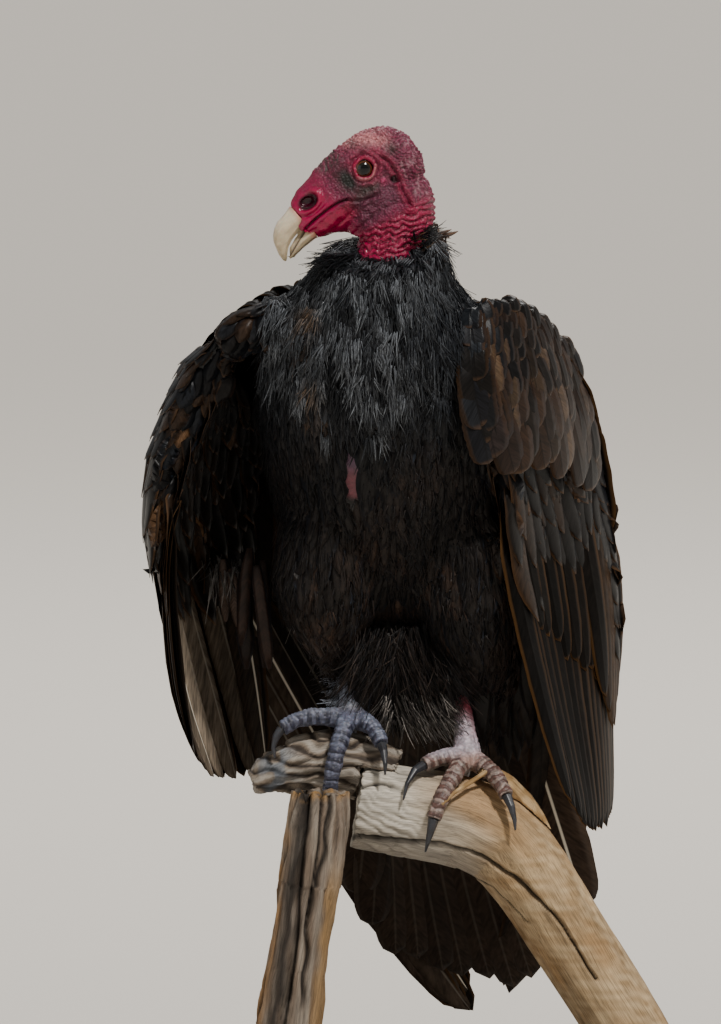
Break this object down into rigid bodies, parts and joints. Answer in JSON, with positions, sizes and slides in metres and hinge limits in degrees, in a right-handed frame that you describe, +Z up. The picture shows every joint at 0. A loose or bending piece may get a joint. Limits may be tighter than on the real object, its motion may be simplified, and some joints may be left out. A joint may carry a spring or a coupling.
{
  "type": "turkey vulture display model",
  "caption": "Life-size still model of a turkey vulture perched on driftwood, mounted on a plain flat display base.",
  "frame": {"origin": "a point on the underside of the display base, below the bird's feet, at the height that the base rests on", "axes": "+Z up, the bird's breast faces -Y, +X towards the bird's left side"},
  "size_m": [0.3381, 0.3329, 0.6193],
  "materials": {
    "plumage": "matte, black-brown contour feathers",
    "flight_feathers": "satin, dark brown vanes with pale shafts",
    "bare_skin": "satin, red and wrinkled",
    "horn": "satin, ivory horn",
    "foot_scales": "matte, scaled",
    "claws": "glossy, dark horn",
    "eyes": "glossy glass eye",
    "driftwood": "matte, weathered",
    "stand_wood": "satin, dark stain",
    "stand_steel": "brushed"
  },
  "bodies": {
    "root": {"bill_lower": "horn", "bill_upper": "horn", "claw_left_hind": "claws", "claw_left_inner": "claws", "claw_left_middle": "claws", "claw_left_outer": "claws", "claw_right_hind": "claws", "claw_right_inner": "claws", "claw_right_middle": "claws", "claw_right_outer": "claws", "eye_left": "eyes", "eye_right": "eyes", "head": "bare_skin", "neck": "bare_skin", "perch_branch": "driftwood", "perch_post": "driftwood", "perch_splinter": "driftwood", "perch_stub": "driftwood", "scapulars_left": "plumage", "scapulars_right": "plumage", "stand_base": "stand_wood", "stand_rod_left": "stand_steel", "stand_rod_right": "stand_steel", "tail": "flight_feathers", "tarsus_left": "foot_scales", "tarsus_right": "foot_scales", "thigh_left": "plumage", "thigh_right": "plumage", "toe_left_hind": "foot_scales", "toe_left_inner": "foot_scales", "toe_left_middle": "foot_scales", "toe_left_outer": "foot_scales", "toe_right_hind": "foot_scales", "toe_right_inner": "foot_scales", "toe_right_middle": "foot_scales", "toe_right_outer": "foot_scales", "trunk": "plumage", "wing_left_arm": "plumage", "wing_left_primaries": "flight_feathers", "wing_left_secondaries": "flight_feathers", "wing_right_arm": "plumage", "wing_right_primaries": "flight_feathers", "wing_right_secondaries": "flight_feathers"}
  },
  "joints": []
}
